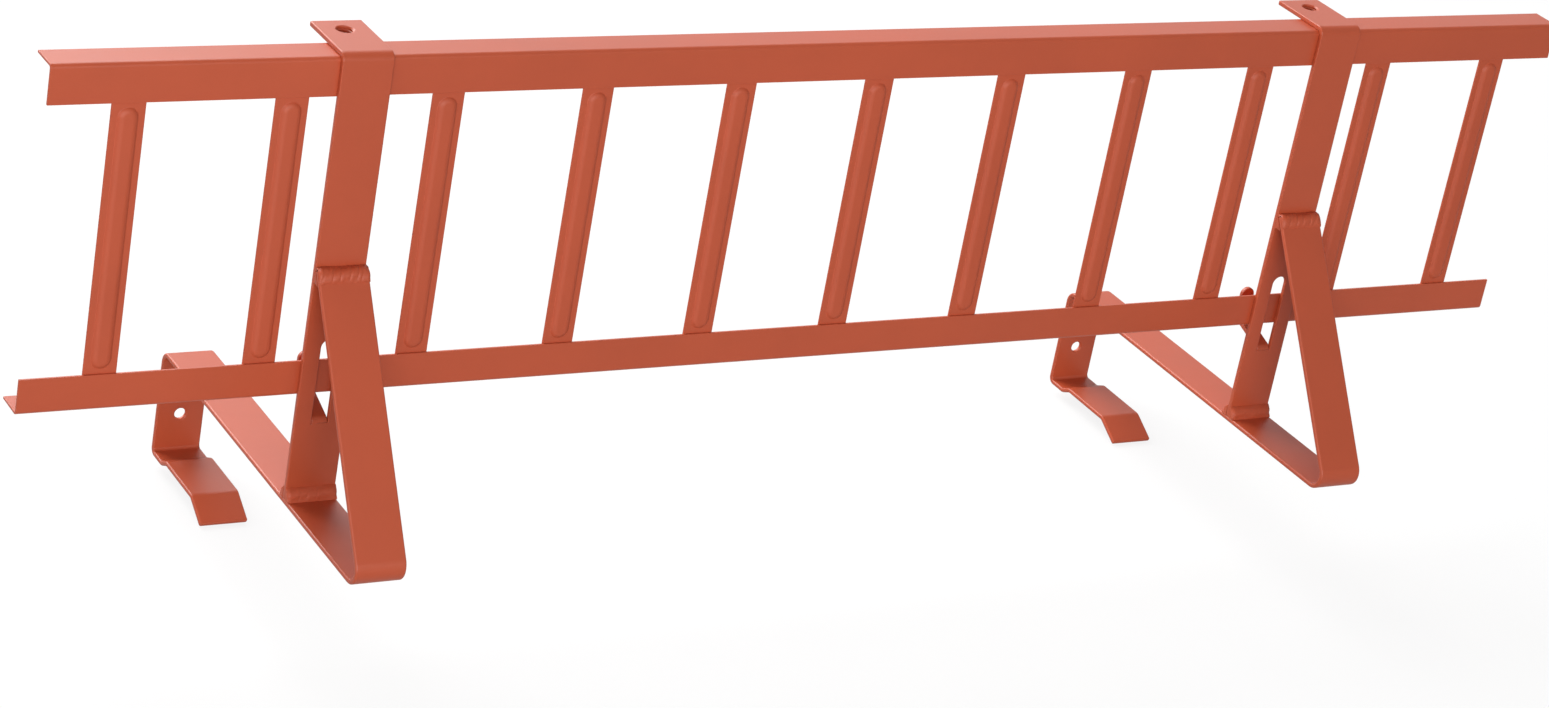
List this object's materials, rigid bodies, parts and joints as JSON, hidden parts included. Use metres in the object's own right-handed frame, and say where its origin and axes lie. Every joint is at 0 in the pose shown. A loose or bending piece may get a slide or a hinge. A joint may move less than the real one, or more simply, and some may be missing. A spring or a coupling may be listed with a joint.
{
  "type": "roof snow guard",
  "caption": "Slatted sheet-metal grille held by bent flat-bar brackets, each with a raking front brace and a rear hook over a roof batten; holds snow back on a pitched roof.",
  "frame": {"origin": "midway between the two batten screw holes, on the inner faces of the hooks", "axes": "+X along the guard, +Y up the roof slope towards the hooks, +Z square to the roof"},
  "size_m": [1, 0.2915, 0.3422],
  "materials": {
    "powder_coat": "satin terracotta powder coat"
  },
  "bodies": {
    "root": {"top_rail": "powder_coat", "bottom_rail": "powder_coat", "slat_01": "powder_coat", "slat_02": "powder_coat", "slat_03": "powder_coat", "slat_04": "powder_coat", "slat_05": "powder_coat", "slat_06": "powder_coat", "slat_07": "powder_coat", "slat_08": "powder_coat", "slat_09": "powder_coat", "slat_10": "powder_coat", "slat_11": "powder_coat", "left_base_strap": "powder_coat", "left_upright": "powder_coat", "left_brace_weld": "powder_coat", "left_foot_weld_front": "powder_coat", "left_foot_weld_rear": "powder_coat", "right_base_strap": "powder_coat", "right_upright": "powder_coat", "right_brace_weld": "powder_coat", "right_foot_weld_front": "powder_coat", "right_foot_weld_rear": "powder_coat"}
  },
  "joints": []
}
